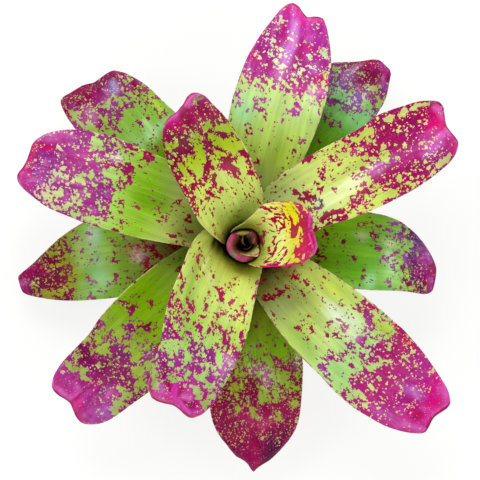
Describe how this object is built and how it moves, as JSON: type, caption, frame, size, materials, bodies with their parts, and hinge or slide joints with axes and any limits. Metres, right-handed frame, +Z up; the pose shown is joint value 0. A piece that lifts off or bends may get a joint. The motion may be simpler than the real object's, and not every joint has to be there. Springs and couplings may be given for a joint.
{
  "type": "neoregelia bromeliad",
  "caption": "Rosette of broad mottled green and magenta strap leaves round a water-holding cup of rolled young leaves, on a short cut stem that it rests on.",
  "frame": {"origin": "centre of the stem's flat cut face, which the plant rests on", "axes": "+Z up along the growth axis; +X and +Y lie in the cut face, +X towards the small upright leaf_01"},
  "size_m": [0.3654, 0.3922, 0.153],
  "materials": {
    "leaf_young": "glossy waxy leaf, yellow-green with crimson and magenta flecks, hot pink tip",
    "leaf_middle": "glossy waxy leaf, green base breaking up into a magenta outer half, hot pink tip",
    "leaf_old": "glossy waxy leaf, darker green with maroon and purple tip",
    "cup_leaf": "satin young leaf, dusty pink rim, olive and brown inside",
    "stem": "matt fibrous stem with a pale cut face underneath"
  },
  "bodies": {
    "root": {"stem": "stem", "leaf_01": "leaf_young", "leaf_02": "leaf_young", "leaf_03": "leaf_young", "leaf_04": "leaf_middle", "leaf_05": "leaf_middle", "leaf_06": "leaf_middle", "leaf_07": "leaf_middle", "leaf_08": "leaf_middle", "leaf_09": "leaf_old", "leaf_10": "leaf_old", "leaf_11": "leaf_old", "leaf_12": "leaf_old", "leaf_13": "leaf_old", "inner_leaf_1": "cup_leaf", "inner_leaf_2": "cup_leaf", "inner_leaf_3": "cup_leaf", "inner_leaf_4": "cup_leaf", "inner_leaf_5": "cup_leaf"}
  },
  "joints": []
}
